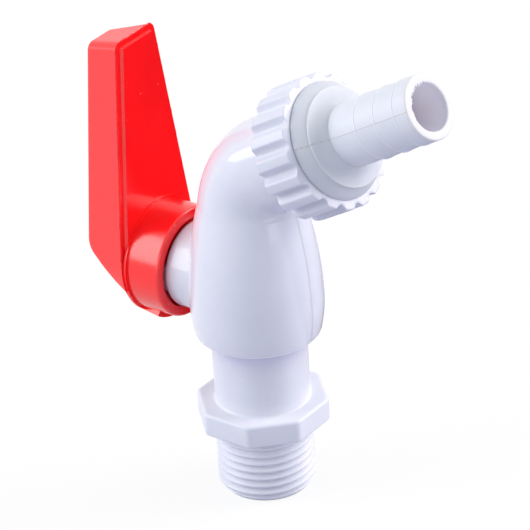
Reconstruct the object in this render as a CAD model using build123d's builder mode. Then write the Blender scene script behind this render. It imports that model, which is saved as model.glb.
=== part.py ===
from build123d import *
import os
from math import acos, atan2, cos, hypot, radians, sin, sqrt, tan

# Plastic lever bib tap: a quarter-turn ball valve in an elbow body, with a screwed inlet,
# a union nut and a barbed hose tail. Millimetres.
# The origin is the centre of the inlet thread's end face, +Z runs up the inlet axis,
# +X is the way the spout leans, and the lever stands on the -X side.
# The lever is drawn in its open position, along the inlet axis.

os.makedirs("parts", exist_ok=True)

# Fits
slip = 0.1                  # radial room of a pushed-in spigot, a seat or a plain thread
running = 0.05              # radial room of the stem in its bore and of the ball in its seats
snap_gap = 0.1              # axial room of the tail on each side of the nut's web
hub_gap = 0.42              # radial room between the boss and the lever's hub
stop_gap = 0.4              # axial room of each stop over the face that it passes
stop_play = 1.0             # degrees of room at each end of the lever's travel

# Inlet adapter
thread_d = 20.955           # half-inch pipe thread, over its crests
thread_length = 15.7
thread_chamfer = 0.9
octagon_flats = 26.7
octagon_height = 5.4
octagon_edge = 0.7
neck_d = 20.3
neck_length = 16.1          # from the octagon to the body's foot
inlet_bore_d = 15.0
adapter_ring_section = 1.8
adapter_groove_width = 2.2

# Body
foot_d = 26.6
foot_edge = 0.9
widest_d = 28.5
widest_rise = 7.8           # from the foot up to the widest level
flank_r = 84.0              # long arc of the body's side above the widest level
flank_rise = 30.172         # from the foot up to where the elbow starts to bend
crease_r = 0.784            # bend of the elbow's inner side, at its start
spout_angle = 30.0          # above the horizontal
arm_d = 20.6
arm_length = 15.2           # from the crossing of the axes to the spout thread's start
spout_length = 20.5         # from the crossing of the axes to the spout's end face
thread_pitch = 1.814
thread_depth = 1.05
thread_flank = 27.5         # degrees, each side of a groove
thread_runout = 1.0         # from the middle of the groove's end to the thread's start
passage_d = 12.0

# Ball valve
stem_rise = 11.26           # from the foot up to the stem axis
ball_d = 15.5
port_d = 9.5
seat_d = 16.4
seat_front = 4.6            # from the ball's centre to each seat's lip
seat_back = 7.6             # from the ball's centre to each seat's flat back
spigot_gap = 0.3            # between the adapter's end and the floor of its socket

# Stem and its boss
boss_d = 19.0
boss_end = 17.3             # from the inlet axis to the boss's end face
boss_edge = 1.5
stem_d = 8.0
tongue_thickness = 4.0
tongue_width = 7.0
slot_depth = 2.6
slot_room = 0.1
shoulder_d = 11.2
shoulder_start = 8.6        # from the inlet axis
shoulder_thickness = 1.8
thrust_washer_thickness = 0.6
stem_ring_section = 1.3
stem_groove_width = 1.7
stem_ring_places = (13.0, 15.4)
drive_square = 4.8
drive_length = 7.9          # square length beyond the boss
drive_room = 0.1
pilot_depth = 8.0

# Lever
hub_rim = 16.84             # from the inlet axis to the hub's open rim
hub_d = 24.12
hub_edge = 0.5
cup_depth = 2.76
blade_start = 25.32         # from the inlet axis to the blade's inner face, at the stem axis
blade_lean = 2.7            # degrees, outwards at the top
blade_height = 51.0         # from the stem axis to the top
blade_top_width = 12.8
blade_foot_d = 26.0         # round end of the blade, about the stem axis
blade_draft = 14.0          # degrees, narrower towards the back
blade_top_thickness = 9.4
blade_foot_thickness = 11.3
blade_edge = 0.8
blade_corner = 2.0          # where the top meets the sides
undercut_start = 2.6        # the sloping underside starts this far above the stem axis
undercut_drop = 6.6         # and meets the inner face this much lower
undercut_round = 4.0        # where the sloping underside meets the back
panel_inset = 1.3
panel_height = 0.65
panel_bevel = 20.0          # degrees, off square
collar_d = 25.2             # thin collar where the hub meets the blade
collar_thickness = 0.6
lug_d = 26.4                # over the lug's tip, from which it ramps down to the collar
lug_length = 4.7
lug_span = 72.0             # degrees
hub_overlap = 0.9           # how far the hub runs into the blade
stop_inner_d = 10.4
stop_outer_d = 15.6
lever_travel = 90.0         # degrees
stop_tab_span = 60.0        # degrees

# Lever screw
screw_head_d = 5.0
screw_head_height = 1.8
screw_head_edge = 0.6
screw_d = 2.8
screw_length = 7.6
screw_web = 1.6             # lever wall between the square socket and the screw's head
screw_room = 0.2
recess_d = 1.6              # driver recess in the head
recess_depth = 1.0

# Union nut
nut_back = 15.5             # from the crossing of the axes, along the spout
nut_length = 10.0
nut_crest_d = 28.9
nut_end_round = 0.9
flute_count = 18
flute_r = 1.5
flute_depth = 0.9
flute_length = 8.6          # straight part, from the nut's back to the round end
web_thickness = 2.0
web_hole_d = 18.2

# Hose tail
tail_neck_d = 18.0
tail_flange_d = 19.2
tail_flange_thickness = 1.4
flange_lead = 0.5
tail_washer_d = 19.0
tail_washer_bore_d = 11.0
disc_d = 24.86
disc_edge = 0.5
ridge_d = 21.0
ridge_rise = 3.1            # from the disc's back to the ridge line
ridge_height = 0.2
root_d = 13.6
root_rise = 5.1             # from the disc's back to the root of the barbed tube
root_hollow = 0.5           # how far the cone inside the ridge is hollowed
tail_length = 27.1          # from the disc's back to the tip
tail_bore_d = 10.12
first_barb = 12.5           # from the disc's back to the first barb
barb_pitch = 5.4
barb_count = 3
barb_crest_d = 14.1
barb_valley_d = 13.4
barb_lip = 0.35
tip_d = 13.9
tip_round = 0.85

# Radii, levels and distances that follow
thread_r = thread_d / 2
neck_r = neck_d / 2
socket_r = neck_r + slip
seat_r = seat_d / 2
chamber_r = seat_r + slip
ball_r = ball_d / 2
port_r = port_d / 2
stem_r = stem_d / 2
stem_bore_r = stem_r + running
shoulder_r = shoulder_d / 2
boss_r = boss_d / 2
hub_r = hub_d / 2
cup_r = boss_r + hub_gap
collar_r = collar_d / 2
blade_foot_r = blade_foot_d / 2
stop_inner_r = stop_inner_d / 2
stop_outer_r = stop_outer_d / 2
screw_r = screw_d / 2
screw_head_r = screw_head_d / 2
arm_r = arm_d / 2
passage_r = passage_d / 2
foot_r = foot_d / 2
widest_r = widest_d / 2
nut_crest_r = nut_crest_d / 2
web_hole_r = web_hole_d / 2
tail_bore_r = tail_bore_d / 2
tail_neck_r = tail_neck_d / 2
flange_r = tail_flange_d / 2
disc_r = disc_d / 2
ridge_r = ridge_d / 2
root_r = root_d / 2
tip_r = tip_d / 2
octagon_top = thread_length + octagon_height
foot_z = octagon_top + neck_length
widest_z = foot_z + widest_rise
stem_z = foot_z + stem_rise
spigot_top = stem_z - seat_back
bend_turn = 90 - spout_angle
bend_z = foot_z + flank_rise
bend_start_r = widest_r - flank_r + sqrt(flank_r ** 2 - (bend_z - widest_z) ** 2)
elbow_r = bend_start_r + crease_r
elbow_z = bend_z + elbow_r * tan(radians(bend_turn / 2))
washer_start = shoulder_start + shoulder_thickness
washer_floor = washer_start + thrust_washer_thickness
cup_floor = hub_rim + cup_depth
hub_end = blade_start + hub_overlap
lug_start = blade_start - lug_length
stop_height = cup_floor - boss_end - stop_gap
drive_end = boss_end + drive_length
socket_end = drive_end + drive_room
screw_seat = socket_end + screw_web
nut_front = nut_back + nut_length
web_back = nut_front - web_thickness
disc_back = nut_front + snap_gap
flange_front = web_back - snap_gap
flange_back = flange_front - tail_flange_thickness
tail_tip = disc_back + tail_length

# Axes, and half-section planes that run along an axis and out from it
elbow_point = Vector(0, 0, elbow_z)
spout_way = Vector(cos(radians(spout_angle)), 0, sin(radians(spout_angle)))
spout_axis = Axis(elbow_point, spout_way)
stem_axis = Axis((0, 0, stem_z), (-1, 0, 0))
spout_section = Plane(origin=elbow_point, x_dir=spout_way, z_dir=(0, -1, 0))
stem_section = Plane(origin=(0, 0, stem_z), x_dir=(-1, 0, 0), z_dir=(0, 1, 0))

# The blade's inner face: outwards from it is the lever's back
lean = radians(blade_lean)
blade_origin = Vector(-blade_start, 0, stem_z)
blade_back_plane = Plane(origin=blade_origin, x_dir=(0, -1, 0), z_dir=(-cos(lean), 0, -sin(lean)))
blade_inner_plane = Plane(origin=blade_origin, x_dir=(0, 1, 0), z_dir=(cos(lean), 0, sin(lean)))


def spout_plane(distance):
    """Plane across the spout, this far from the crossing of the axes."""
    return Plane(origin=elbow_point + spout_way * distance, x_dir=(0, 1, 0), z_dir=spout_way)


def stem_plane(distance):
    """Plane across the stem, this far out from the inlet axis, with its y upwards."""
    return Plane(origin=(-distance, 0, stem_z), x_dir=(0, -1, 0), z_dir=(-1, 0, 0))


def bend_plane(turn):
    """Plane across the centre line of the elbow, after it has turned by this many degrees."""
    angle = radians(turn)
    place = (elbow_r * (1 - cos(angle)), 0, bend_z + elbow_r * sin(angle))
    return Plane(origin=place, x_dir=(0, 1, 0), z_dir=(sin(angle), 0, cos(angle)))


def ring_sector(inner_r, outer_r, middle, span):
    """Face of a sector of a ring, with its angles counted from y towards x."""
    start = 90 - middle - span / 2
    with BuildLine() as outline:
        outer = CenterArc((0, 0), outer_r, start, span)
        inner = CenterArc((0, 0), inner_r, start, span)
        Line(outer @ 0, inner @ 0)
        Line(outer @ 1, inner @ 1)
    make_face(outline.edges())


def blade_outline(inset):
    """Face of the blade seen from the spout: a straight top and a round foot, joined by tangents."""
    foot = blade_foot_r - inset
    top = blade_height - inset
    half = blade_top_width / 2 - inset
    touch = atan2(top, half) - acos(foot / hypot(half, top))
    right = (foot * cos(touch), foot * sin(touch))
    left = (-right[0], right[1])
    with BuildLine() as outline:
        Polyline(left, (-half, top), (half, top), right)
        ThreePointArc(right, (0, -foot), left)
    make_face(outline.edges())


def on_inner_face(edge):
    """True for an edge that lies in the blade's inner face."""
    return abs(blade_inner_plane.to_local_coords(edge.center()).Z) < blade_edge / 2


def round_ring(plane, axis, place, inner_r, section):
    """A ring of round section about an axis, with its middle at a place along the axis."""
    with BuildPart() as ring:
        with BuildSketch(plane):
            with Locations((place, inner_r + section / 2)):
                Circle(section / 2)
        revolve(axis=axis)
    return ring


def flat_ring(plane, thickness, inner_r, outer_r):
    """A flat ring that stands on a plane."""
    with BuildPart() as ring:
        with BuildSketch(plane):
            Circle(outer_r)
            Circle(inner_r, mode=Mode.SUBTRACT)
        extrude(amount=thickness)
    return ring


def thread_groove(end_plane, length):
    """A right-hand helical groove, from half a pitch outside an end face to this far in from it."""
    slope = tan(radians(thread_flank))
    root_half = (thread_pitch / 2 - thread_depth * slope) / 2
    mouth_half = root_half + (thread_depth + slip) * slope
    with BuildPart() as groove:
        with BuildLine(end_plane):
            path = Helix(thread_pitch, length + thread_pitch / 2, thread_r, center=(0, 0, -thread_pitch / 2))
        with BuildSketch(Plane(origin=path @ 0, x_dir=end_plane.x_dir, z_dir=path % 0)):
            with BuildLine():
                Polyline((-thread_depth, -root_half), (slip, -mouth_half), (slip, mouth_half),
                         (-thread_depth, root_half), close=True)
            make_face()
        sweep(path=path, is_frenet=True)
    return groove.part


def seat_ring(way):
    """A valve seat, above the ball for way 1 and below it for way -1, hollowed to the ball."""
    with BuildPart() as ring:
        with BuildSketch(Plane.XY.offset(stem_z + way * seat_front)):
            Circle(seat_r)
            Circle(port_r, mode=Mode.SUBTRACT)
        extrude(amount=seat_back - seat_front, dir=(0, 0, way))
        with Locations((0, 0, stem_z)):
            Sphere(ball_r + running, mode=Mode.SUBTRACT)
    return ring


def save(piece, name):
    """Label a finished piece and write it to its own file."""
    piece.part.label = name
    export_step(piece.part, f"parts/{name}.step")


# Inlet adapter: male thread, octagon to hold it by, neck, and the spigot that closes the valve
adapter_groove_r = socket_r - adapter_ring_section
adapter_groove_z = (foot_z + spigot_top) / 2
with BuildPart() as inlet_adapter:
    with BuildSketch(Plane.XY.offset(thread_length)):
        RegularPolygon(octagon_flats / 2, 8, major_radius=False, rotation=22.5)
    extrude(amount=octagon_height)
    fillet(inlet_adapter.edges(), octagon_edge)
    with BuildSketch():
        Circle(thread_r)
    extrude(amount=thread_length + octagon_height / 2)
    chamfer(inlet_adapter.faces().sort_by(Axis.Z)[0].edges(), thread_chamfer)
    with BuildSketch(Plane.XY.offset(thread_length + octagon_height / 2)):
        Circle(neck_r)
    extrude(amount=spigot_top - thread_length - octagon_height / 2)
    with BuildSketch(Plane.XY.offset(adapter_groove_z)):
        Circle(socket_r)
        Circle(adapter_groove_r, mode=Mode.SUBTRACT)
    extrude(amount=adapter_groove_width / 2, both=True, mode=Mode.SUBTRACT)
    with BuildSketch():
        Circle(inlet_bore_d / 2)
    extrude(amount=spigot_top, mode=Mode.SUBTRACT)
save(inlet_adapter, "inlet_adapter")

adapter_ring_place = Plane(origin=(0, 0, adapter_groove_z), x_dir=(0, 0, 1), z_dir=(0, 1, 0))
adapter_o_ring = round_ring(adapter_ring_place, Axis.Z, 0, adapter_groove_r, adapter_ring_section)
save(adapter_o_ring, "adapter_o_ring")

# Body: round foot, long curved flank, elbow and arm, spout thread, boss for the stem
bend_steps = 4
with BuildPart() as body:
    with BuildSketch(Plane.XZ):
        with BuildLine():
            Polyline((foot_r, foot_z), (0, foot_z), (0, bend_z), (bend_start_r, bend_z))
            RadiusArc((bend_start_r, bend_z), (widest_r, widest_z), flank_r)
            TangentArc((widest_r, widest_z), (foot_r, foot_z), tangent=(0, -1))
        make_face()
    revolve(axis=Axis.Z)
    fillet(body.faces().sort_by(Axis.Z)[0].edges(), foot_edge)
    with BuildLine():
        bend = TangentArc((0, 0, bend_z), bend_plane(bend_turn).origin, tangent=(0, 0, 1))
        Line(bend @ 1, spout_plane(arm_length).origin)
    for step in range(bend_steps + 1):
        share = step / bend_steps
        with BuildSketch(bend_plane(bend_turn * share)):
            Circle(arm_r + (bend_start_r - arm_r) * (1 - share) ** 3)
    with BuildSketch(spout_plane(arm_length)):
        Circle(arm_r)
    sweep(multisection=True)
    with BuildSketch(spout_plane(arm_length)):
        Circle(thread_r)
    extrude(amount=spout_length - arm_length)
    add(thread_groove(-spout_plane(spout_length), spout_length - arm_length - thread_runout), mode=Mode.SUBTRACT)
    with BuildSketch(stem_section) as boss_half:
        with BuildLine():
            Polyline((0, 0), (0, boss_r), (boss_end, boss_r), (boss_end, 0), close=True)
        make_face()
        fillet(boss_half.vertices().sort_by(Axis((0, 0, 0), (1, 1, 0)))[-1], boss_edge)
    revolve(axis=stem_axis)
    stop_window = lever_travel + stop_tab_span + 2 * stop_play
    with BuildSketch(stem_plane(boss_end)):
        ring_sector(stop_inner_r, stop_outer_r, 180, 360 - stop_window)
    extrude(amount=stop_height)
    with BuildSketch(Plane.XY.offset(foot_z)):
        Circle(socket_r)
    extrude(amount=spigot_top + spigot_gap - foot_z, mode=Mode.SUBTRACT)
    with BuildSketch(Plane.XY.offset(foot_z)):
        Circle(chamber_r)
    extrude(amount=stem_z + seat_back - foot_z, mode=Mode.SUBTRACT)
    with BuildSketch(Plane.XY.offset(stem_z)):
        Circle(passage_r)
    with BuildLine():
        FilletPolyline((0, 0, stem_z), elbow_point, elbow_point + spout_way * spout_length, radius=elbow_r)
    sweep(mode=Mode.SUBTRACT)
    with BuildSketch(stem_plane(0)):
        Circle(shoulder_r + slip)
    extrude(amount=washer_floor, mode=Mode.SUBTRACT)
    with BuildSketch(stem_plane(0)):
        Circle(stem_bore_r)
    extrude(amount=boss_end, mode=Mode.SUBTRACT)
save(body, "body")

# Ball, with its port up the inlet axis and the slot that the stem turns it by
with BuildPart() as ball:
    with Locations((0, 0, stem_z)):
        Sphere(ball_r)
    with BuildSketch(Plane.XY.offset(stem_z)):
        Circle(port_r)
    extrude(amount=ball_r, both=True, mode=Mode.SUBTRACT)
    with BuildSketch(stem_plane(ball_r - slot_depth)):
        Rectangle(ball_d, tongue_thickness + 2 * slot_room)
    extrude(amount=slot_depth, mode=Mode.SUBTRACT)
save(ball, "ball")

inlet_seat = seat_ring(-1)
save(inlet_seat, "inlet_seat")
outlet_seat = seat_ring(1)
save(outlet_seat, "outlet_seat")

# Stem: tongue, shoulder that it can't blow out past, sealed shank and square end
stem_groove_r = stem_bore_r - stem_ring_section
with BuildPart() as stem:
    with BuildSketch(stem_plane(ball_r - slot_depth + slot_room)):
        Rectangle(tongue_width, tongue_thickness)
    extrude(amount=shoulder_start - ball_r + slot_depth - slot_room)
    with BuildSketch(stem_plane(shoulder_start)):
        Circle(shoulder_r)
    extrude(amount=shoulder_thickness)
    with BuildSketch(stem_plane(washer_start)):
        Circle(stem_r)
    extrude(amount=boss_end - washer_start)
    for place in stem_ring_places:
        with BuildSketch(stem_plane(place - stem_groove_width / 2)):
            Circle(stem_r)
            Circle(stem_groove_r, mode=Mode.SUBTRACT)
        extrude(amount=stem_groove_width, mode=Mode.SUBTRACT)
    with BuildSketch(stem_plane(boss_end)):
        Rectangle(drive_square, drive_square)
    extrude(amount=drive_length)
    with BuildSketch(stem_plane(drive_end - pilot_depth)):
        Circle(screw_r)
    extrude(amount=pilot_depth, mode=Mode.SUBTRACT)
save(stem, "stem")

stem_ring_free = stem_ring_section - running
stem_o_ring_inner = round_ring(stem_section, stem_axis, stem_ring_places[0], stem_groove_r, stem_ring_free)
save(stem_o_ring_inner, "stem_o_ring_inner")
stem_o_ring_outer = round_ring(stem_section, stem_axis, stem_ring_places[1], stem_groove_r, stem_ring_free)
save(stem_o_ring_outer, "stem_o_ring_outer")
stem_thrust_washer = flat_ring(stem_plane(washer_start), thrust_washer_thickness, stem_r + running, shoulder_r)
save(stem_thrust_washer, "stem_thrust_washer")

# Lever: drafted blade with a bevelled panel, sloping underside, hub cup, stop tab and lug
undercut_way = Vector(blade_foot_thickness, 0, -undercut_drop)
undercut_point = blade_origin + Vector(-blade_foot_thickness, 0, undercut_start)
undercut_plane = Plane(origin=undercut_point, x_dir=undercut_way, z_dir=undercut_way.cross(Vector(0, 1, 0)))
thickness_slope = atan2(blade_foot_thickness - blade_top_thickness, blade_height)
back_lean = lean - thickness_slope
back_plane = Plane(origin=blade_origin + Vector(-blade_foot_thickness, 0, 0), x_dir=(0, -1, 0),
                   z_dir=(-cos(back_lean), 0, -sin(back_lean)))
with BuildPart() as lever_handle:
    with BuildSketch(blade_back_plane):
        blade_outline(0)
    extrude(amount=blade_foot_thickness, taper=blade_draft)
    split(bisect_by=back_plane, keep=Keep.BOTTOM)
    split(bisect_by=undercut_plane, keep=Keep.TOP)
    fillet(lever_handle.edges().filter_by(Axis.Y).sort_by(Axis.Z)[1], undercut_round)
    fillet(lever_handle.edges().filter_by(lambda edge: not on_inner_face(edge)).sort_by(Axis.Z)[-2:], blade_corner)
    fillet(lever_handle.edges().filter_by(lambda edge: not on_inner_face(edge)), blade_edge)
    with BuildSketch(blade_inner_plane):
        blade_outline(panel_inset)
    with BuildSketch(blade_inner_plane.offset(panel_height)):
        blade_outline(panel_inset + panel_height * tan(radians(panel_bevel)))
    loft()
    with BuildSketch(stem_section) as hub_half:
        with BuildLine():
            Polyline((hub_rim, 0), (hub_rim, hub_r), (hub_end, hub_r), (hub_end, 0), close=True)
        make_face()
        fillet(hub_half.vertices().sort_by(Axis((0, 0, 0), (-1, 1, 0)))[-1], hub_edge)
    revolve(axis=stem_axis)
    with BuildSketch(stem_plane(blade_start - collar_thickness)):
        Circle(collar_r)
    extrude(amount=collar_thickness)
    with BuildSketch(stem_section.rotated((180 + lug_span / 2, 0, 0))):
        with BuildLine():
            Polyline((lug_start, stop_outer_r), (lug_start, lug_d / 2), (blade_start, collar_r),
                     (blade_start, stop_outer_r), close=True)
        make_face()
    revolve(axis=stem_axis, revolution_arc=lug_span)
    with BuildSketch(stem_plane(hub_rim)):
        Circle(cup_r)
    extrude(amount=cup_depth, mode=Mode.SUBTRACT)
    with BuildSketch(stem_plane(cup_floor - stop_height)):
        ring_sector(stop_inner_r, stop_outer_r, -lever_travel / 2, stop_tab_span)
    extrude(amount=stop_height)
    with BuildSketch(stem_plane(cup_floor)):
        Rectangle(drive_square + drive_room, drive_square + drive_room)
    extrude(amount=socket_end - cup_floor, mode=Mode.SUBTRACT)
    with BuildSketch(stem_plane(socket_end)):
        Circle(screw_r + screw_room)
    extrude(amount=screw_web, mode=Mode.SUBTRACT)
    with BuildSketch(stem_plane(screw_seat)):
        Circle(screw_head_r + screw_room)
    extrude(amount=blade_start + blade_foot_thickness, mode=Mode.SUBTRACT)
save(lever_handle, "lever_handle")

with BuildPart() as handle_screw:
    with BuildSketch(stem_plane(screw_seat)):
        Circle(screw_head_r)
    extrude(amount=screw_head_height)
    fillet(handle_screw.faces().sort_by(Axis.X)[0].edges(), screw_head_edge)
    with BuildSketch(stem_plane(screw_seat - screw_length)):
        Circle(screw_r)
    extrude(amount=screw_length)
    with BuildSketch(stem_plane(screw_seat + screw_head_height - recess_depth)):
        Rectangle(recess_d, recess_d / 3)
        Rectangle(recess_d / 3, recess_d)
    extrude(amount=recess_depth, mode=Mode.SUBTRACT)
save(handle_screw, "handle_screw")

# Union nut: round blank with round-ended flutes, a threaded bore and a front web
with BuildPart() as union_nut:
    with BuildSketch(spout_section) as blank_half:
        with BuildLine():
            Polyline((nut_back, 0), (nut_back, nut_crest_r), (nut_front, nut_crest_r), (nut_front, 0), close=True)
        make_face()
        fillet(blank_half.vertices().group_by(Axis.Y)[-1], nut_end_round)
    revolve(axis=spout_axis)
    with BuildSketch(spout_plane(nut_back)):
        with PolarLocations(nut_crest_r - flute_depth + flute_r, flute_count):
            Circle(flute_r)
    extrude(amount=flute_length, mode=Mode.SUBTRACT)
    with Locations(spout_plane(nut_back + flute_length)):
        with PolarLocations(nut_crest_r - flute_depth + flute_r, flute_count):
            Sphere(flute_r, mode=Mode.SUBTRACT)
    with BuildSketch(spout_plane(nut_back)):
        Circle(thread_r + slip)
    extrude(amount=web_back - nut_back, mode=Mode.SUBTRACT)
    with BuildSketch(spout_plane(web_back)):
        Circle(web_hole_r)
    extrude(amount=web_thickness, mode=Mode.SUBTRACT)
save(union_nut, "union_nut")

# Hose tail: snap flange, neck through the web, domed disc with a ridge, barbed tube
with BuildPart() as hose_tail:
    with BuildSketch(spout_section) as tail_half:
        with BuildLine():
            Polyline((tail_tip, tail_bore_r), (flange_back, tail_bore_r), (flange_back, flange_r - flange_lead),
                     (flange_back + flange_lead, flange_r), (flange_front, flange_r), (flange_front, tail_neck_r),
                     (disc_back, tail_neck_r), (disc_back, disc_r - disc_edge), (disc_back + disc_edge, disc_r),
                     (disc_back + ridge_rise - ridge_height, ridge_r), (disc_back + ridge_rise, ridge_r + ridge_height),
                     (disc_back + ridge_rise + ridge_height, ridge_r - ridge_height))
            cone_start = (disc_back + ridge_rise + ridge_height, ridge_r - ridge_height)
            cone_end = (disc_back + root_rise, root_r)
            SagittaArc(cone_start, cone_end, -root_hollow)
            last = cone_end
            for number in range(barb_count):
                barb = disc_back + first_barb + number * barb_pitch
                Polyline(last, (barb, barb_valley_d / 2), (barb + barb_lip, barb_crest_d / 2))
                last = (barb + barb_lip, barb_crest_d / 2)
            Polyline(last, (tail_tip, tip_r), (tail_tip, tail_bore_r))
        make_face()
        fillet(tail_half.vertices().group_by(Axis.X)[-1], tip_round)
    revolve(axis=spout_axis)
save(hose_tail, "hose_tail")

tail_washer = flat_ring(spout_plane(spout_length), flange_back - spout_length, tail_washer_bore_d / 2,
                        tail_washer_d / 2)
save(tail_washer, "tail_washer")
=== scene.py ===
from math import cos, pi, radians, sin

import bpy
import numpy as np
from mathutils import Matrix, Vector


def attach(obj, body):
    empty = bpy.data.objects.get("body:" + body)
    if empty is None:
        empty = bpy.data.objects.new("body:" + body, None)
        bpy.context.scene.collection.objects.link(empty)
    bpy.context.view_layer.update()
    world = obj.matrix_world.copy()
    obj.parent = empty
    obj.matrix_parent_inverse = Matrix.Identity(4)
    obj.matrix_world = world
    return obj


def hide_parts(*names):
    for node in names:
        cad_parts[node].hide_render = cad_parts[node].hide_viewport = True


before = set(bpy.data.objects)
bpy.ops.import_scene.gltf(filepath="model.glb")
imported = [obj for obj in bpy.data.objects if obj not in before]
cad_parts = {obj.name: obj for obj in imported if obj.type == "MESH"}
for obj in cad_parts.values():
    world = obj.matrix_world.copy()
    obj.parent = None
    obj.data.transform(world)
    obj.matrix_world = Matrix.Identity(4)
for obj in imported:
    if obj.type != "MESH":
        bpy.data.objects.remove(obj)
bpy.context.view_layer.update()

bl_info = {
    "name": "Plastic Lever Tap Dressing",
    "version": (1, 0, 0),
    "blender": (4, 5, 0),
    "location": "View3D > Sidebar > Tap",
    "description": "Moulded skins, threads, seams and finishes for a plastic lever tap",
    "category": "Object",
}

MM = 0.001

# Sizes are in millimetres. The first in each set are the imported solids', which the skins follow.

# Inlet adapter
THREAD_R = 10.4775
THREAD_LENGTH = 15.7
OCTAGON_HALF = 13.35
OCTAGON_HEIGHT = 5.4
NECK_R = 10.15
SPIGOT_TOP = 40.86
INLET_BORE_R = 7.5
BORE_CHAMFER = 0.5
END_FACE_INSET = 0.3
LEAD_INSET = 0.2
LEAD_SLOPE = 0.85
THREAD_START = 0.02
THREAD_STOP = 0.15
THREAD_FADE = 1.1
ROWS_PER_PITCH = 18
OCTAGON_EDGE = 0.75
OCTAGON_POWER = 70
NECK_FILLET = 0.45
SPIGOT_CHAMFER = 0.3
# Painted shadow on the neck under the foot's overhang: where it starts, where it is full, and its curve
NECK_SHADE_START = 29.5
NECK_SHADE_END = 35.8
NECK_SHADE_POWER = 1.5

# Body
FOOT_Z = 37.2
FOOT_R = 13.3
FOOT_EDGE = 0.9
WIDEST_Z = 45.0
WIDEST_R = 14.25
FLANK_R = 84.0
BEND_Z = 67.372
ELBOW_Z = 74.3
SPOUT_ANGLE = radians(30)
FOOT_BEAD_R = 0.3
FOOT_BEAD_SINK = 0.06
FOOT_BEAD_LEAN = radians(48)
PARTING_HALF_WIDTH = 0.17
PARTING_SHARE = 0.6
PARTING_SINK = 0.15
PARTING_STEPS = 70
PARTING_TAPER = 6
PARTING_TOP_GAP = 0.6

# Union nut
NUT_BACK = 15.5
NUT_LENGTH = 10.0
NUT_CREST_R = 14.45
NUT_WEB = 2.0
WEB_HOLE_R = 9.1
NUT_BORE_GAP = 0.1
NUT_FRONT_R = 12.7
NUT_BACK_R = 11.6
WEB_CHAMFER = 0.2
NUT_BORE_CHAMFER = 0.4
NUT_BACK_ROUND = 1.1
NUT_FRONT_ROUND = 0.35
FLUTE_SOFTNESS = 0.12
FLUTE_HALF_WIDTH = 1.45
FLUTE_RUN_OUT = 1.6
FLUTE_FRONT_SHARE = 0.75
FLUTE_COLUMNS = 28

# Hose tail
DISC_BACK = 25.6
TAIL_LENGTH = 27.1
DISC_R = 12.43
RIDGE_R = 10.5
RIDGE_RISE = 3.1
ROOT_R = 6.8
ROOT_RISE = 5.1
FIRST_BARB = 12.5
BARB_PITCH = 5.4
BARB_COUNT = 3
BARB_VALLEY_R = 6.7
BARB_CREST_R = 7.05
TIP_R = 6.95
TAIL_BORE_R = 5.06
FLANGE_BACK = 22.0
FLANGE_FRONT = 23.4
FLANGE_R = 9.6
FLANGE_CHAMFER = 0.5
SLEEVE_R = 9.0
LIP_ROUND = 0.35
DISC_EDGE = 0.12
DOME_START = 0.16
DOME_SHORT = 0.4
DOME_POWER = 1.35
BEAD_LENGTH = 0.22
BEAD_HEIGHT = 0.26
BEAD_SINK = 0.08
CONE_START = 0.25
CONE_DROP = 0.2
CONE_SAG = 0.75
ROOT_RUN = 0.5
BARB_PROFILE = ((-0.24, BARB_VALLEY_R), (-0.08, BARB_CREST_R), (0.1, BARB_CREST_R), (0.2, BARB_CREST_R - 0.12))
SEAM_TURN = radians(285)
SEAM_HALF_TURN = radians(1.6)
BURR_TURN = radians(330)
BURR_SCALE = 2.2
BURR_REACH = 0.5

# Lever
STEM_Z = 48.46
BLADE_START = 25.32
BLADE_LEAN = radians(2.7)
BLADE_HEIGHT = 51.0
BLADE_TOP_HALF = 6.4
BLADE_FOOT_R = 13.0
BLADE_CORNER = 2.0
BLADE_SIDE_STEPS = 150
BLADE_CORNER_STEPS = 14
BLADE_TOP_STEPS = 24
FLASH_SEED = 5
FLASH_TAPER = 8
FLASH_SECTION = np.array([[-0.3, -0.34], [0.0, -0.26], [1.0, -0.2], [1.0, -0.14], [0.0, -0.06], [-0.3, 0.02]])

# Colours that multiply a skin's own: the lip's, disc's and seam's are the plastic's tone; the neck's is a painted
# shadow, the bore's painted light, the fine edges' a painted highlight
# Painted shadow on the neck under the foot
NECK_SHADOW_TINT = (0.84, 0.80, 0.91)
# Painted light inside the hose tail's bore
BORE_PAINTED_LIGHT = (1.22, 1.15, 1.16)
LIP_TINT = (1.0, 0.97, 0.93)
DISC_TINT = (0.87, 0.88, 0.88)
# Painted highlight along the ridge bead and the barbs' edges
EDGE_PAINTED_HIGHLIGHT = (1.14, 1.12, 1.07)
SEAM_TINT = (0.8, 0.75, 0.74)

# Plastic
PLASTIC_IOR = 1.49
RIPPLE_STRENGTH = 0.12
RIPPLE_DEPTH = 0.0004
GLOW_RADIUS = (0.0014, 0.0014, 0.0016)

# Stage, in metres and watts
MIDDLE = (0, 0, 0.05)
UPPER_MIDDLE = (0, 0, 0.06)
PURE_WHITE = (1.0, 1.0, 1.0)
WARM_WHITE = (1.0, 0.94, 0.95)
# Each lamp's name, place, target, width, height, power, colour and the one node that it lights, or None for all
LAMPS = (
    ("Left Softbox", (-0.7, -0.6, 0.5), MIDDLE, 0.8, 0.8, 7.4, PURE_WHITE, None),
    ("Right Softbox", (0.62, 0.68, 0.5), MIDDLE, 0.7, 0.7, 9.0, WARM_WHITE, None),
    ("Front Strip", (0.835, -0.2, 0.14), UPPER_MIDDLE, 0.32, 0.5, 1.0, PURE_WHITE, None),
    ("Top Softbox", (-0.15, 0.1, 1.0), MIDDLE, 0.6, 0.6, 0.5, PURE_WHITE, None),
    ("Lever Fill", (0.3, -0.85, 0.25), UPPER_MIDDLE, 0.4, 0.4, 2.0, PURE_WHITE, "lever_handle"),
)
FLOOR_HALF = 1.5
FLOOR_BOUNCE = (0.42, 0.43, 0.54, 1)
FLOOR_SEEN = (0.96, 0.96, 0.96, 1)
FLOOR_GLOW = 0.88
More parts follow.
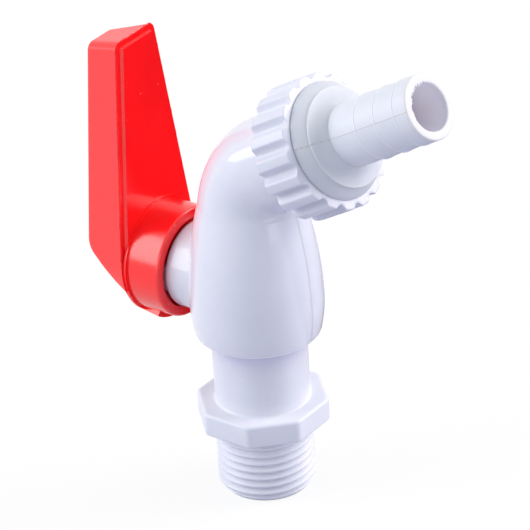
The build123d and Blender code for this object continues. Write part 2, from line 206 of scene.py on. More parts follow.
FLAG_LEFT = -0.02
FLAG_RIGHT = 0.6
FLAG_NEAR = 0.03
FLAG_FAR = 0.6
FLAG_LEVEL = 0.001
FLAG_RISE = 0.3
FLAG_SLANT = 0.2
FLAG_BLACK = (0.01, 0.01, 0.01, 1)
SKY_LIGHT = (0.8, 0.86, 1.0, 1)
SKY_STRENGTH = 0.55
PHOTO_SIZE = 530
PHOTO_FOCAL = 4178.56
PHOTO_SHIFT_X = 9.437
PHOTO_SHIFT_Y = 9.367
SENSOR_WIDTH = 36.0
CAMERA_TURN = radians(37.371)
CAMERA_RISE = radians(28.9)
CAMERA_ROLL = radians(3.467)
CAMERA_DISTANCE = 0.872886
CLIP_START = 0.01

ELBOW = np.array([0.0, 0.0, ELBOW_Z])
SPOUT_WAY = np.array([cos(SPOUT_ANGLE), 0.0, sin(SPOUT_ANGLE)])
SPOUT_UP = np.array([-sin(SPOUT_ANGLE), 0.0, cos(SPOUT_ANGLE)])
SIDE = np.array([0.0, 1.0, 0.0])


class TapShapeSettings(bpy.types.PropertyGroup):
    """Sizes of the moulded detail."""

    thread_pitch: bpy.props.FloatProperty(
        name="Thread Pitch", description="Distance between neighbouring thread ridges",
        default=1.814 * MM, unit="LENGTH", precision=5)
    thread_depth: bpy.props.FloatProperty(
        name="Thread Depth", description="From a thread's crest to its root",
        default=1.16 * MM, unit="LENGTH", precision=5)
    flute_count: bpy.props.IntProperty(
        name="Nut Flutes", description="How many grooves go round the union nut", default=18, min=3)
    flute_depth: bpy.props.FloatProperty(
        name="Flute Depth", description="Depth of each groove of the union nut",
        default=1.5 * MM, unit="LENGTH", precision=5)
    seam_height: bpy.props.FloatProperty(
        name="Seam Height", description="How far the mould's parting lines stand proud",
        default=0.06 * MM, unit="LENGTH", precision=5)
    flash_height: bpy.props.FloatProperty(
        name="Flash Height", description="Height of the ragged flash along the lever's edge",
        default=0.22 * MM, unit="LENGTH", precision=5)


class TapColourSettings(bpy.types.PropertyGroup):
    """Colours of the mouldings."""

    body_white: bpy.props.FloatVectorProperty(
        name="Body White", description="Colour of the body", subtype="COLOR", size=4,
        default=(0.82, 0.83, 0.89, 1.0), min=0.0, max=1.0)
    adapter_white: bpy.props.FloatVectorProperty(
        name="Adapter White", description="Colour of the inlet adapter", subtype="COLOR", size=4,
        default=(0.82, 0.83, 0.89, 1.0), min=0.0, max=1.0)
    nut_white: bpy.props.FloatVectorProperty(
        name="Nut White", description="Colour of the union nut", subtype="COLOR", size=4,
        default=(0.76, 0.77, 0.84, 1.0), min=0.0, max=1.0)
    tail_white: bpy.props.FloatVectorProperty(
        name="Tail White", description="Colour of the hose tail", subtype="COLOR", size=4,
        default=(0.80, 0.82, 0.86, 1.0), min=0.0, max=1.0)
    lever_red: bpy.props.FloatVectorProperty(
        name="Lever Red", description="Colour of the lever", subtype="COLOR", size=4,
        default=(1.0, 0.001, 0.003, 1.0), min=0.0, max=1.0)


def angles(count, seams=()):
    """Angles round a circle: an even set, with closer ones within a degree or two of each seam."""
    even = np.arange(count) * 2 * pi / count
    near = np.radians(np.array([-2.4, -1.8, -1.3, -0.9, -0.5, 0.0, 0.5, 0.9, 1.3, 1.8, 2.4]))
    extra = [(seam + near) % (2 * pi) for seam in seams]
    return np.unique(np.round(np.concatenate([even, *extra]), 6))


def arc_steps(count):
    """Angles from just past 0 to 90 degrees, as a column."""
    return np.radians(np.linspace(0, 90, count))[1:, None]


def seam_bump(turn, seam, half_width):
    """A smooth bump of height 1 at the seam's angle: (1 - (d / w)^2)^2 for |d| < w, else 0."""
    away = (turn - seam + pi) % (2 * pi) - pi
    return np.clip(1 - (away / half_width) ** 2, 0, None) ** 2


def profile_line(*points, step=0.4):
    """Points along straight runs between the given (along, radius) corners, at most one step apart."""
    corners = np.array(points, dtype=float)
    runs = [np.linspace(a, b, max(2, int(np.ceil(np.hypot(*(b - a)) / step)) + 1))[:-1]
            for a, b in zip(corners[:-1], corners[1:])]
    return np.concatenate([*runs, corners[-1:]])


def round_corner(corner, size, start, end, count=6):
    """Arc in a corner: centre + size * (cos a, sin a), with a from start to end in degrees."""
    turn = np.radians(np.linspace(start, end, count))
    return np.stack([corner[0] + size * np.cos(turn), corner[1] + size * np.sin(turn)], axis=1)


def stacked(rows, columns):
    """Whole grids of levels and of radii, from pairs that are each a column or a grid."""
    return [np.concatenate([np.broadcast_to(part, (len(part), columns)) for part in parts])
            for parts in zip(*rows)]


def inlet_points(along, radius, turn):
    """Inlet frame: (r cos t, r sin t, z)."""
    return np.stack(np.broadcast_arrays(radius * np.cos(turn), radius * np.sin(turn), along), axis=-1)


def spout_points(along, radius, turn):
    """Spout frame: elbow + s * way + r * (cos t * up + sin t * side)."""
    along, radius, turn = np.broadcast_arrays(along, radius, turn)
    return (ELBOW + along[..., None] * SPOUT_WAY + (radius * np.cos(turn))[..., None] * SPOUT_UP
            + (radius * np.sin(turn))[..., None] * SIDE)


def ring_faces(rows, columns, close_rows):
    """Quads of a grid that closes round its columns, and round its rows too if asked."""
    down = np.arange(rows if close_rows else rows - 1)[:, None]
    over = np.arange(columns)[None, :]
    below = (down + 1) % rows
    right = (over + 1) % columns
    return np.stack([down * columns + over, down * columns + right,
                     below * columns + right, below * columns + over], axis=-1).reshape(-1, 4)


def outward(points, faces):
    """The faces, turned round if the volume that they enclose, the sum of a . (b x c) / 6, is negative."""
    corner = [points[faces[:, k]] for k in range(4)]
    volume = (np.einsum("ij,ij->i", corner[0], np.cross(corner[1], corner[2])).sum()
              + np.einsum("ij,ij->i", corner[0], np.cross(corner[2], corner[3])).sum())
    return faces if volume > 0 else faces[:, ::-1]


def tint_grid(shape, *shares):
    """Colours that multiply a skin's own: the product of 1 + share * (factor - 1) over its marked areas."""
    grid = np.ones(shape + (4,))
    for share, factor in shares:
        amount = np.broadcast_to(np.clip(share, 0, 1), shape)[..., None]
        grid[..., :3] *= 1 + amount * (np.array(factor) - 1)
    return grid


def moulding(name, grid, body, material, stands_for=(), close_rows=True, sharp=40, tint=None):
    """One object from a closed grid of points in millimetres, riding on a body; tint multiplies its colour."""
    flat = grid.reshape(-1, 3)
    faces = outward(flat, ring_faces(*grid.shape[:2], close_rows))
    mesh = bpy.data.meshes.new(name)
    mesh.vertices.add(len(flat))
    mesh.vertices.foreach_set("co", (flat * MM).ravel())
    mesh.loops.add(faces.size)
    mesh.loops.foreach_set("vertex_index", faces.ravel())
    mesh.polygons.add(len(faces))
    mesh.polygons.foreach_set("loop_start", np.arange(0, faces.size, 4))
    mesh.polygons.foreach_set("use_smooth", np.ones(len(faces), dtype=bool))
    mesh.update(calc_edges=True)
    if mesh.validate():
        raise RuntimeError(f"{name} has bad faces")
    mesh.set_sharp_from_angle(angle=radians(sharp))
    if tint is not None:
        mesh.attributes.new("tint", "FLOAT_COLOR", "POINT").data.foreach_set("color", tint.ravel())
    mesh.materials.append(material)
    piece = bpy.data.objects.new(name, mesh)
    bpy.context.collection.objects.link(piece)
    if stands_for:
        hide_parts(*stands_for)
    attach(piece, body)
    return piece


def thread_radius(along, turn, pitch, depth):
    """Right-hand thread with round crests, narrow valleys: R - depth * (1 - |sin(pi s / pitch - t / 2)|)."""
    return THREAD_R - depth * (1 - np.abs(np.sin(pi * along / pitch - turn / 2)))


def flank_radius(level):
    """Half-width of the body: a short arc below the widest level and a long one above it."""
    drop = WIDEST_R - FOOT_R
    low_r = (drop ** 2 + (WIDEST_Z - FOOT_Z) ** 2) / (2 * drop)
    arc = np.where(level < WIDEST_Z, low_r, FLANK_R)
    return WIDEST_R - arc + np.sqrt(arc ** 2 - (level - WIDEST_Z) ** 2)


def node_tree(material):
    """A fresh node tree with a Principled shader on its output."""
    material.use_nodes = True
    tree = material.node_tree
    tree.nodes.clear()
    output = tree.nodes.new("ShaderNodeOutputMaterial")
    shader = tree.nodes.new("ShaderNodeBsdfPrincipled")
    tree.links.new(shader.outputs["BSDF"], output.inputs["Surface"])
    return tree, shader


def feed(tree, socket, value):
    """Link an output to the socket, or set the socket to a plain value."""
    if isinstance(value, bpy.types.NodeSocket):
        tree.links.new(value, socket)
    else:
        socket.default_value = value


def math_node(tree, operation, *values, clamp=False):
    """Result of a Math node on numbers and outputs."""
    node = tree.nodes.new("ShaderNodeMath")
    node.operation = operation
    node.use_clamp = clamp
    for socket, value in zip(node.inputs, values):
        feed(tree, socket, value)
    return node.outputs["Value"]


def mix_colours(tree, factor, first, second, blend="MIX"):
    """Result of a colour Mix node."""
    node = tree.nodes.new("ShaderNodeMix")
    node.data_type = "RGBA"
    node.blend_type = blend
    for label, value in (("Factor", factor), ("A", first), ("B", second)):
        feed(tree, node.inputs[label], value)
    return node.outputs["Result"]


def map_range(tree, value, start, end, low=0.0, high=1.0):
    """Result of a Map Range node, from start..end to low..high."""
    node = tree.nodes.new("ShaderNodeMapRange")
    for label, given in (("Value", value), ("From Min", start), ("From Max", end), ("To Min", low), ("To Max", high)):
        feed(tree, node.inputs[label], given)
    return node.outputs["Result"]


def noise(tree, place, scale, detail):
    """Value of a Noise texture over Object coordinates."""
    node = tree.nodes.new("ShaderNodeTexNoise")
    for label, value in (("Vector", place), ("Scale", scale), ("Detail", detail)):
        feed(tree, node.inputs[label], value)
    return node.outputs["Fac"]


def moulding_marks():
    """Group: cloudy colour, rare specks, uneven gloss and a faint ripple, as on injection-moulded plastic."""
    group = bpy.data.node_groups.get("Moulding Marks")
    if group:
        return group
    group = bpy.data.node_groups.new("Moulding Marks", "ShaderNodeTree")
    face = group.interface
    for label, kind, value in (("Colour", "NodeSocketColor", (0.8, 0.8, 0.8, 1)),
                               ("Shade", "NodeSocketColor", (0.7, 0.7, 0.7, 1)),
                               ("Cloud Size", "NodeSocketFloat", 60.0), ("Roughness", "NodeSocketFloat", 0.3),
                               ("Uneven", "NodeSocketFloat", 0.1), ("Ripple", "NodeSocketFloat", 0.1),
                               ("Specks", "NodeSocketFloat", 0.2),
                               ("Speck Colour", "NodeSocketColor", (0.3, 0.3, 0.3, 1))):
        face.new_socket(name=label, in_out="INPUT", socket_type=kind).default_value = value
    for label, kind in (("Colour", "NodeSocketColor"), ("Roughness", "NodeSocketFloat"),
                        ("Height", "NodeSocketFloat")):
        face.new_socket(name=label, in_out="OUTPUT", socket_type=kind)
    given = group.nodes.new("NodeGroupInput").outputs
    result = group.nodes.new("NodeGroupOutput").inputs
    place = group.nodes.new("ShaderNodeTexCoord").outputs["Object"]

    cloud = map_range(group, noise(group, place, given["Cloud Size"], 3.0), 0.35, 0.75)
    clouded = mix_colours(group, cloud, given["Colour"], given["Shade"])

    speck = group.nodes.new("ShaderNodeTexVoronoi")
    speck.inputs["Scale"].default_value = 420
    group.links.new(place, speck.inputs["Vector"])
    dot = map_range(group, speck.outputs["Distance"], 0.05, 0.11, 1.0, 0.0)
    parts = group.nodes.new("ShaderNodeSeparateColor")
    group.links.new(speck.outputs["Color"], parts.inputs["Color"])
    rare = math_node(group, "GREATER_THAN", parts.outputs["Red"], 0.86)
    amount = math_node(group, "MULTIPLY", math_node(group, "MULTIPLY", dot, rare), given["Specks"])
    group.links.new(mix_colours(group, amount, clouded, given["Speck Colour"]), result["Colour"])

    gloss = math_node(group, "SUBTRACT", noise(group, place, 170.0, 4.0), 0.5)
    rough = math_node(group, "MULTIPLY_ADD", gloss, given["Uneven"], given["Roughness"], clamp=True)
    group.links.new(rough, result["Roughness"])

    wave = noise(group, place, 240.0, 2.0)
    group.links.new(math_node(group, "MULTIPLY", wave, given["Ripple"]), result["Height"])
    return group


def plastic(name, colour, shade, roughness, uneven=0.12, ripple=0.25, specks=0.25, glow=0.0, specular=0.5,
            speck_colour=(0.3, 0.29, 0.3, 1.0), tinted=False):
    """Moulded plastic: the shared marks over a Principled shader, with light inside it where glow is given."""
    material = bpy.data.materials.get(name)
    if material:
        return material
    material = bpy.data.materials.new(name)
    tree, shader = node_tree(material)
    marks = tree.nodes.new("ShaderNodeGroup")
    marks.node_tree = moulding_marks()
    for label, value in (("Colour", colour), ("Shade", shade), ("Cloud Size", 70.0), ("Roughness", roughness),
                         ("Uneven", uneven), ("Ripple", ripple), ("Specks", specks),
                         ("Speck Colour", speck_colour)):
        marks.inputs[label].default_value = value
    bump = tree.nodes.new("ShaderNodeBump")
    bump.inputs["Strength"].default_value = RIPPLE_STRENGTH
    bump.inputs["Distance"].default_value = RIPPLE_DEPTH
    tree.links.new(marks.outputs["Height"], bump.inputs["Height"])
    toned = marks.outputs["Colour"]
    if tinted:
        tint = tree.nodes.new("ShaderNodeAttribute")
        tint.attribute_name = "tint"
        toned = mix_colours(tree, 1.0, toned, tint.outputs["Color"], blend="MULTIPLY")
    tree.links.new(toned, shader.inputs["Base Color"])
    tree.links.new(marks.outputs["Roughness"], shader.inputs["Roughness"])
    tree.links.new(bump.outputs["Normal"], shader.inputs["Normal"])
    shader.inputs["IOR"].default_value = PLASTIC_IOR
    shader.inputs["Specular IOR Level"].default_value = specular
    shader.inputs["Subsurface Weight"].default_value = glow
    shader.inputs["Subsurface Radius"].default_value = GLOW_RADIUS
    shader.inputs["Subsurface Scale"].default_value = 1.0
    return material


def shaded(colour, share=0.93):
    """The colour, a little darker, for the cloudy patches."""
    return tuple(value * share for value in colour[:3]) + (1.0,)


class TAP_OT_inlet_adapter(bpy.types.Operator):
    """Threaded inlet with a rounded octagon, a plain neck and an open bore"""

    bl_idname = "tap.inlet_adapter"
    bl_label = "Inlet Adapter"

    def execute(self, context):
        """A closed half-section carried round the inlet: bore, thread, octagon and neck, with a painted shadow that
        darkens the neck towards the foot.
        """
        shape, white = context.scene.tap_shape, context.scene.tap_colours.adapter_white
        pitch, depth = shape.thread_pitch / MM, shape.thread_depth / MM
        turn = angles(256)
        root = THREAD_R - depth
        bore = profile_line((SPIGOT_TOP, INLET_BORE_R), (BORE_CHAMFER, INLET_BORE_R),
                            (0.0, INLET_BORE_R + BORE_CHAMFER), (0.0, root - END_FACE_INSET), step=1.0)
        fillet_turn = arc_steps(6)
        neck_start = THREAD_LENGTH + OCTAGON_HEIGHT
        fillet = (neck_start + NECK_FILLET * (1 - np.cos(fillet_turn)),
                  NECK_R + NECK_FILLET * (1 - np.sin(fillet_turn)))
        neck = profile_line((neck_start + NECK_FILLET, NECK_R), (SPIGOT_TOP - SPIGOT_CHAMFER, NECK_R),
                            (SPIGOT_TOP, NECK_R - SPIGOT_CHAMFER), step=1.5)[1:]
        level, radius = stacked([(bore[:, :1], bore[:, 1:]), self.thread_rows(turn, root, pitch, depth),
                                 *self.octagon_rows(turn, root), fillet, (neck[:, :1], neck[:, 1:])], turn.size)
        # Painted shadow: the neck's colour darkens towards the foot, where the foot's overhang shades it
        shadow_under_foot = np.clip((level - NECK_SHADE_START) / (NECK_SHADE_END - NECK_SHADE_START), 0, 1)
        tint = tint_grid(level.shape, (shadow_under_foot ** NECK_SHADE_POWER, NECK_SHADOW_TINT))
        material = plastic("Adapter White", white, shaded(white), 0.42, ripple=0.5, specks=0.12, glow=0.05,
                           tinted=True)
        moulding("inlet_adapter_skin", inlet_points(level, radius, turn), "tap_body", material,
                 ["inlet_adapter"], sharp=50, tint=tint)
        return {"FINISHED"}

    def thread_rows(self, turn, root, pitch, depth):
        """Thread that grows from a sloped lead at the end face and fades into its root before the octagon."""
        level = np.arange(THREAD_START, THREAD_LENGTH, pitch / ROWS_PER_PITCH)[:, None]
        lead = np.minimum(root - LEAD_INSET + LEAD_SLOPE * level, THREAD_R)
        fade = np.clip((THREAD_LENGTH - THREAD_STOP - level) / THREAD_FADE, 0, 1)
        ridge = thread_radius(level, turn, pitch, depth)
        return level, np.minimum(root + (ridge - root) * fade, lead)

    def octagon_rows(self, turn, root):
        """Octagon a * (sum max(0, cos(t - t_i))^p)^(-1/p), with its rims rounded: underside to top face."""
        flats = np.radians(np.arange(8) * 45.0)[:, None]
        octagon = np.sum(np.clip(np.cos(turn - flats), 0, None) ** OCTAGON_POWER, axis=0) ** (-1 / OCTAGON_POWER)
        bottom, top = THREAD_LENGTH, THREAD_LENGTH + OCTAGON_HEIGHT
        inset = OCTAGON_HALF - OCTAGON_EDGE
        share = np.linspace(0, 1, 5)[1:, None]
        rim_turn = arc_steps(7)
        face = np.linspace(bottom + OCTAGON_EDGE, top - OCTAGON_EDGE, 4)[1:, None]
        return [
            (bottom * np.ones_like(share), root + share * (inset * octagon - root)),
            (bottom + OCTAGON_EDGE * (1 - np.cos(rim_turn)), (inset + OCTAGON_EDGE * np.sin(rim_turn)) * octagon),
            (face, OCTAGON_HALF * octagon * np.ones_like(face)),
            (top - OCTAGON_EDGE + OCTAGON_EDGE * np.sin(rim_turn), (inset + OCTAGON_EDGE * np.cos(rim_turn)) * octagon),
            (top * np.ones_like(share), inset * octagon + share * (NECK_R + NECK_FILLET - inset * octagon)),
        ]


class TAP_OT_body(bpy.types.Operator):
    """Finish of the elbow body, with its parting line and the bead at its foot"""

    bl_idname = "tap.body"
    bl_label = "Body"

    def execute(self, context):
        """Material of the body's solid, then the two pieces of trim."""
        white = context.scene.tap_colours.body_white
        material = plastic("Body White", white, shaded(white, 0.95), 0.1, uneven=0.05, ripple=0.2, glow=0.3)
        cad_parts["body"].data.materials[0] = material
        self.parting_line(material, PARTING_SHARE * context.scene.tap_shape.seam_height / MM)
        self.foot_bead()
        return {"FINISHED"}

    def parting_line(self, material, height):
        """A flat bump, h (1 - (d / w)^2)^2, carried along the body's outline in its middle plane."""
        level = np.linspace(FOOT_Z + FOOT_EDGE, BEND_Z - PARTING_TOP_GAP, PARTING_STEPS)
        outline = np.stack([flank_radius(level), np.zeros_like(level), level], axis=1)
        along = np.gradient(outline, axis=0)
        along /= np.linalg.norm(along, axis=1)[:, None]
        out = np.cross(SIDE, along)
        across = np.linspace(-1, 1, 9)
        step = np.arange(PARTING_STEPS)
        taper = np.clip(np.minimum(step, step[::-1]) / PARTING_TAPER, 0, 1)[:, None]
        lift = height * (1 - across ** 2) ** 2 * taper
        sideways = (across * PARTING_HALF_WIDTH)[None, :, None] * SIDE
        upper = outline[:, None] + sideways + lift[..., None] * out[:, None]
        lower = outline[:, None] + sideways[:, ::-1] - PARTING_SINK * out[:, None]
        moulding("body_parting_line", np.concatenate([upper, lower], axis=1), "tap_body", material,
                 close_rows=False)

    def foot_bead(self):
        """Fine bead round the foot's rounded edge, in a lighter white that is a painted highlight: a small circle
        carried round the inlet's axis.
        """
        # Lighter white than the body's: a painted highlight where the foot's rounded edge catches the light
        material = plastic("Foot Edge Painted Highlight", (0.98, 0.98, 1.0, 1.0), (0.95, 0.95, 0.99, 1.0), 0.15, ripple=0.2,
                           specks=0.0)
        turn = angles(200)
        section = np.radians(np.arange(0, 360, 30.0))[:, None]
        reach = FOOT_EDGE - FOOT_BEAD_SINK
        radius = FOOT_R - FOOT_EDGE + reach * cos(FOOT_BEAD_LEAN) + FOOT_BEAD_R * np.cos(section)
        level = FOOT_Z + FOOT_EDGE - reach * sin(FOOT_BEAD_LEAN) + FOOT_BEAD_R * np.sin(section)
        moulding("body_foot_bead", inlet_points(level, radius, turn), "tap_body", material)


class TAP_OT_union_nut(bpy.types.Operator):
    """Fluted union nut with rounded ridges and a scalloped front rim"""

    bl_idname = "tap.union_nut"
    bl_label = "Union Nut"

    def execute(self, context):
        """Groove k log(1 + exp(D (1 - (x / w)^2) / k)) and end rounding e meet as crest - (g^3 + e^3)^(1/3)."""
        shape, white = context.scene.tap_shape, context.scene.tap_colours.nut_white
        count, depth = shape.flute_count, shape.flute_depth / MM
        turn = np.arange(count * FLUTE_COLUMNS) * 2 * pi / (count * FLUTE_COLUMNS)
        pitch = 2 * pi * NUT_CREST_R / count
        across = ((turn * count / (2 * pi)) % 1.0 - 0.5) * pitch
        swell = depth * (1 - (across / FLUTE_HALF_WIDTH) ** 2) / FLUTE_SOFTNESS
        groove = FLUTE_SOFTNESS * np.log1p(np.exp(swell))

        rows = NUT_LENGTH * (1 - np.cos(np.linspace(0, pi, 72)[:, None])) / 2
        ends = (self.end_rounding(rows, NUT_BACK_ROUND)
                + self.end_rounding(NUT_LENGTH - rows, NUT_FRONT_ROUND))
        left = np.clip((NUT_LENGTH - rows) / FLUTE_RUN_OUT, 0, 1)
        share = FLUTE_FRONT_SHARE + (1 - FLUTE_FRONT_SHARE) * left ** 2 * (3 - 2 * left)
        outer = NUT_CREST_R - np.cbrt(ends ** 3 + (groove * share) ** 3)

        bore, web = THREAD_R + NUT_BORE_GAP, NUT_LENGTH - NUT_WEB
        inner = profile_line((NUT_LENGTH, NUT_FRONT_R), (NUT_LENGTH, WEB_HOLE_R + WEB_CHAMFER),
                             (NUT_LENGTH - WEB_CHAMFER, WEB_HOLE_R), (web, WEB_HOLE_R), (web, bore),
                             (NUT_BORE_CHAMFER, bore), (0.0, bore + NUT_BORE_CHAMFER), (0.0, NUT_BACK_R), step=0.8)
        along, radius = stacked([(rows, outer), (inner[:, :1], inner[:, 1:])], turn.size)
        material = plastic("Nut White", white, shaded(white), 0.36, ripple=0.4, glow=0.15)
        moulding("union_nut_skin", spout_points(NUT_BACK + along, radius, turn), "nut", material,
                 ["union_nut"], sharp=60)
        return {"FINISHED"}

    def end_rounding(self, away, size):
        """Drop of a quarter-round at a distance from the end: r - sqrt(r^2 - (r - d)^2) for d < r, else 0."""
        gap = np.clip(size - away, 0, None)
        return size - np.sqrt(np.clip(size ** 2 - gap ** 2, 0, None))


class TAP_OT_hose_tail(bpy.types.Operator):
    """Hose tail with a domed disc, a fine ridge, barbs and a mould seam"""

    bl_idname = "tap.hose_tail"
    bl_label = "Hose Tail"

    def execute(self, context):
        """A closed half-section turned about the spout, with a seam at two opposite angles and a burr in its bore."""
        shape, white = context.scene.tap_shape, context.scene.tap_colours.tail_white
        turn = angles(220, (SEAM_TURN, (SEAM_TURN + pi) % (2 * pi)))
        self.tip = DISC_BACK + TAIL_LENGTH
        self.ridge, self.root = DISC_BACK + RIDGE_RISE, DISC_BACK + ROOT_RISE
        self.barbs = DISC_BACK + FIRST_BARB + BARB_PITCH * np.arange(BARB_COUNT)
        outside, inside = self.outside(), self.inside()
        half = np.concatenate([outside, inside])
        along, radius = half[:, :1], half[:, 1:]
        outer = (np.arange(len(half)) < len(outside))[:, None]

        seam = seam_bump(turn, SEAM_TURN, SEAM_HALF_TURN) + seam_bump(turn, SEAM_TURN + pi, SEAM_HALF_TURN)
        proud = seam * shape.seam_height / MM
        wobble = 1 + 0.35 * np.sin(along * 2.3) + 0.25 * np.sin(along * 5.1 + 1)
        burr = BURR_SCALE * shape.flash_height / MM * self.burr(along, radius, turn)
        points = spout_points(along, radius + np.where(outer, proud * wobble, 0) - burr, turn)
        material = plastic("Tail White", white, shaded(white), 0.48, ripple=0.4, glow=0.25, tinted=True)
        moulding("hose_tail_skin", points, "tail", material, ["hose_tail"],
                 tint=self.tints(points.shape[:2], along, radius, outer, proud))
        return {"FINISHED"}

    def outside(self):
        """Outer line from the disc's rim to the lip: dome, ridge bead, sagging cone, barbed tube and rounded end."""
        share = np.linspace(0, 1, 14)[:, None]
        dome = np.concatenate([DISC_BACK + DOME_START + share * (self.ridge - DISC_BACK - DOME_SHORT),
                               DISC_R - (DISC_R - RIDGE_R) * share ** DOME_POWER], axis=1)
        turn = np.radians(np.linspace(200, 0, 9))[:, None]
        bead = np.concatenate([self.ridge + BEAD_LENGTH * np.cos(turn),
                               RIDGE_R - BEAD_SINK + BEAD_HEIGHT * np.sin(turn)], axis=1)
        share = np.linspace(0, 1, 16)[:, None]
        start, top = self.ridge + CONE_START, RIDGE_R - CONE_DROP
        sag = CONE_SAG * np.sin(pi * share) * (1 - share)
        cone = np.concatenate([start + share * (self.root - self.ridge - CONE_START),
                               top - (top - ROOT_R) * share - sag], axis=1)
        steps = [(barb + offset, level) for barb in self.barbs for offset, level in BARB_PROFILE]
        end = self.tip - LIP_ROUND
        tube = profile_line((self.root + ROOT_RUN, ROOT_R), *steps, (end, TIP_R), step=0.45)
        lip = np.concatenate([round_corner((end, TIP_R - LIP_ROUND), LIP_ROUND, 80, 0, 8),
                              round_corner((end, TAIL_BORE_R + LIP_ROUND), LIP_ROUND, 0, -80, 8)])
        return np.concatenate([dome, bead, cone, tube, lip])

    def inside(self):
        """Inner line from the lip down the bore, round the flange and the sleeve, to the disc's back."""
        return profile_line((self.tip - LIP_ROUND - 0.25, TAIL_BORE_R), (FLANGE_BACK, TAIL_BORE_R),
                            (FLANGE_BACK, FLANGE_R - FLANGE_CHAMFER), (FLANGE_BACK + FLANGE_CHAMFER, FLANGE_R),
                            (FLANGE_FRONT, FLANGE_R), (FLANGE_FRONT, SLEEVE_R), (DISC_BACK, SLEEVE_R),
                            (DISC_BACK, DISC_R - DISC_EDGE), step=1.2)

    def burr(self, along, radius, turn):
        """Ragged flash at the bore's mouth: a sum of sines round one side, times exp(-(s / reach)^2) along it."""
        near = np.exp(-((along - (self.tip - LIP_ROUND)) / BURR_REACH) ** 2) * (radius < TAIL_BORE_R + 0.4)
        ragged = np.clip(np.sin(turn * 11 + 1) * np.sin(turn * 23) + 0.5 * np.sin(turn * 37) + 0.7, 0, 1.2)
        return near * ragged * np.clip(np.cos(turn - BURR_TURN) * 1.6 - 0.4, 0, 1)

    def tints(self, shape, along, radius, outer, proud):
        """Painted light in the bore, colour of the lip and disc, painted highlights on the fine edges and colour of the
        seam, each faded in along the tail.
        """
        # Painted light: the bore's colour is made lighter, more so further in from the lip
        painted_bore_light = np.clip((self.tip - along) / 2, 0, 1) * (radius < TAIL_BORE_R + 0.3)
        on_lip = outer * np.clip((along - self.tip + 1.4) / 0.6, 0, 1)
        on_disc = outer * (along < self.root + 0.1)
        # Painted highlight: thin lighter bands at the ridge bead and at each barb
        painted_edge_highlight = outer * (np.exp(-((along - self.ridge) / 0.2) ** 2)
                           + sum(np.exp(-((along - barb) / 0.16) ** 2) for barb in self.barbs))
        on_seam = outer * np.clip(proud / proud.max(), 0, 1) * np.clip(0.6 + 0.4 * np.sin(along * 7), 0, 1)
        return tint_grid(shape, (painted_bore_light, BORE_PAINTED_LIGHT), (on_lip, LIP_TINT), (on_disc, DISC_TINT),
                         (painted_edge_highlight, EDGE_PAINTED_HIGHLIGHT), (on_seam, SEAM_TINT))


class TAP_OT_lever(bpy.types.Operator):
    """Red lever with its moulding flash"""

    bl_idname = "tap.lever"
    bl_label = "Lever"

    def execute(self, context):
        """The flash is a ragged ridge carried along the blade's edge; its height follows smoothed noise."""
        red = context.scene.tap_colours.lever_red
        material = plastic("Lever Red", red, shaded(red, 0.9), 0.22, uneven=0.1, ripple=0.3, specks=0.35,
                           speck_colour=(1.0, 0.35, 0.35, 1.0), specular=0.85)
        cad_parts["lever_handle"].data.materials[0] = material

        edge, out = self.blade_edge()
        count = len(edge)
        step = np.arange(count)
        seed = np.random.default_rng(FLASH_SEED)
        rough = np.convolve(seed.random(count + 12), np.ones(3) / 3, "same")[6:count + 6]
        height = context.scene.tap_shape.flash_height / MM * (0.3 + 0.7 * np.clip(rough * 2.4 - 0.8, 0, 1))
        height *= np.clip(np.minimum(step, step[::-1]) / FLASH_TAPER, 0, 1)
        inward = np.array([cos(BLADE_LEAN), 0, sin(BLADE_LEAN)])
        outwards, sideways = FLASH_SECTION.T
        reach = np.where(outwards > 0, outwards * height[:, None], outwards)
        ridge = edge[:, None] + reach[..., None] * out[:, None] + sideways[None, :, None] * inward
        moulding("lever_flash", ridge, "lever", material, close_rows=False)
        return {"FINISHED"}

    def blade_edge(self):
        """The blade's edge on its inner face, up one side, over the rounded top and down, and the way out of it."""
        corner = np.array([BLADE_TOP_HALF, BLADE_HEIGHT])
        touch = np.arctan2(corner[1], corner[0]) - np.arccos(BLADE_FOOT_R / np.hypot(*corner))
        side_way = np.array([np.cos(touch), np.sin(touch)])
        centre_rise = BLADE_HEIGHT - BLADE_CORNER
        centre_out = (BLADE_FOOT_R - BLADE_CORNER - centre_rise * np.sin(touch)) / np.cos(touch)
        centre = np.array([centre_out, centre_rise])
        corner_turn = np.linspace(touch, pi / 2, BLADE_CORNER_STEPS)[1:-1]
        face = np.concatenate([np.full(BLADE_SIDE_STEPS, touch), corner_turn, np.full(BLADE_TOP_STEPS, pi / 2)])
        way = np.stack([np.cos(face), np.sin(face)], axis=1)
        corner_way = way[BLADE_SIDE_STEPS:BLADE_SIDE_STEPS + len(corner_turn)]
        flat = np.concatenate([
            np.linspace(BLADE_FOOT_R * side_way, centre + BLADE_CORNER * side_way, BLADE_SIDE_STEPS),
            centre + BLADE_CORNER * corner_way,
            np.linspace(centre + [0, BLADE_CORNER], [0, BLADE_HEIGHT], BLADE_TOP_STEPS)])
        mirror = np.array([-1, 1])
        flat = np.concatenate([flat, (flat * mirror)[-2::-1]])
        way = np.concatenate([way, (way * mirror)[-2::-1]])
        rise = np.array([-sin(BLADE_LEAN), 0, cos(BLADE_LEAN)])
        origin = np.array([-BLADE_START, 0, STEM_Z])
        return origin + flat[:, :1] * SIDE + flat[:, 1:] * rise, way[:, :1] * SIDE + way[:, 1:] * rise


